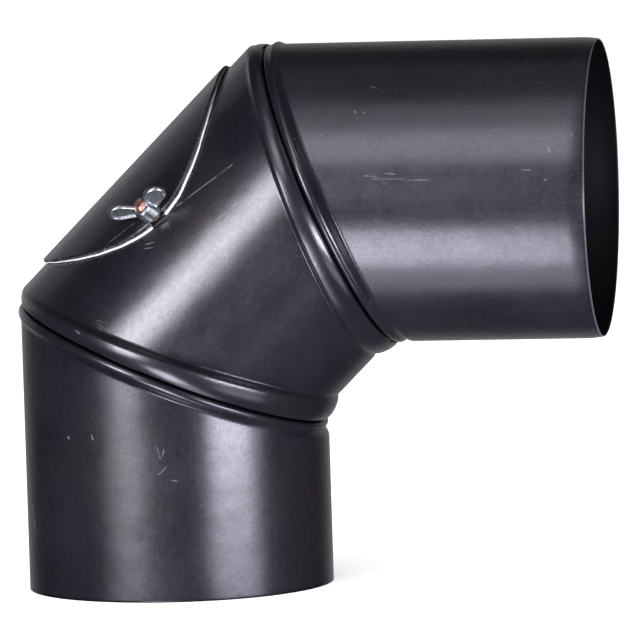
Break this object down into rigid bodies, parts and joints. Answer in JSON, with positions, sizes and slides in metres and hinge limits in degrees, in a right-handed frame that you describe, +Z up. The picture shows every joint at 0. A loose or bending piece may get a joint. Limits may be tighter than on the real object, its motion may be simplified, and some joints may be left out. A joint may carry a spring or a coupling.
{
  "type": "stove pipe elbow",
  "caption": "Swivelling sheet steel stove pipe elbow with a socket, a spigot, and a curved cleaning hatch held on a fibre gasket by wing nuts.",
  "frame": {"origin": "centre of the lower collar's mouth, on the plane it stands on", "axes": "+Z up the lower collar, +X out of the upper collar's mouth, XZ the plane of the bend"},
  "size_m": [0.2923, 0.166, 0.2696],
  "materials": {
    "black_steel": "satin heat-proof black with fine scratches",
    "gasket_fibre": "matt white woven fibre, frayed at the edge",
    "zinc": "bright zinc-plated casting",
    "copper_plating": "copper-flashed steel thread"
  },
  "bodies": {
    "lower": {"lower_collar": "black_steel"},
    "middle": {"middle_segment": "black_steel", "hatch_lid": "black_steel", "gasket_upper": "gasket_fibre", "gasket_lower": "gasket_fibre", "stud_near": "copper_plating", "stud_far": "copper_plating"},
    "upper": {"upper_collar": "black_steel"},
    "nut_near": {"wing_nut_near": "zinc"},
    "nut_far": {"wing_nut_far": "zinc"}
  },
  "joints": [
    {"name": "lower_swivel", "type": "hinge", "parent": "lower", "child": "middle", "pos_m": [0.00061, 0, 0.1132], "axis": [0.3827, 0, 0.9239], "continuous": true},
    {"name": "upper_swivel", "type": "hinge", "parent": "middle", "child": "upper", "pos_m": [0.08046, 0, 0.19305], "axis": [0.9239, 0, 0.3827], "continuous": true},
    {"name": "nut_near_turn", "type": "hinge", "parent": "middle", "child": "nut_near", "pos_m": [0.03642, 0, 0.15442], "axis": [-0.4592, -0.7604, 0.4592], "continuous": true},
    {"name": "nut_far_turn", "type": "hinge", "parent": "middle", "child": "nut_far", "pos_m": [0.03642, 0, 0.15442], "axis": [-0.4592, 0.7604, 0.4592], "continuous": true}
  ]
}
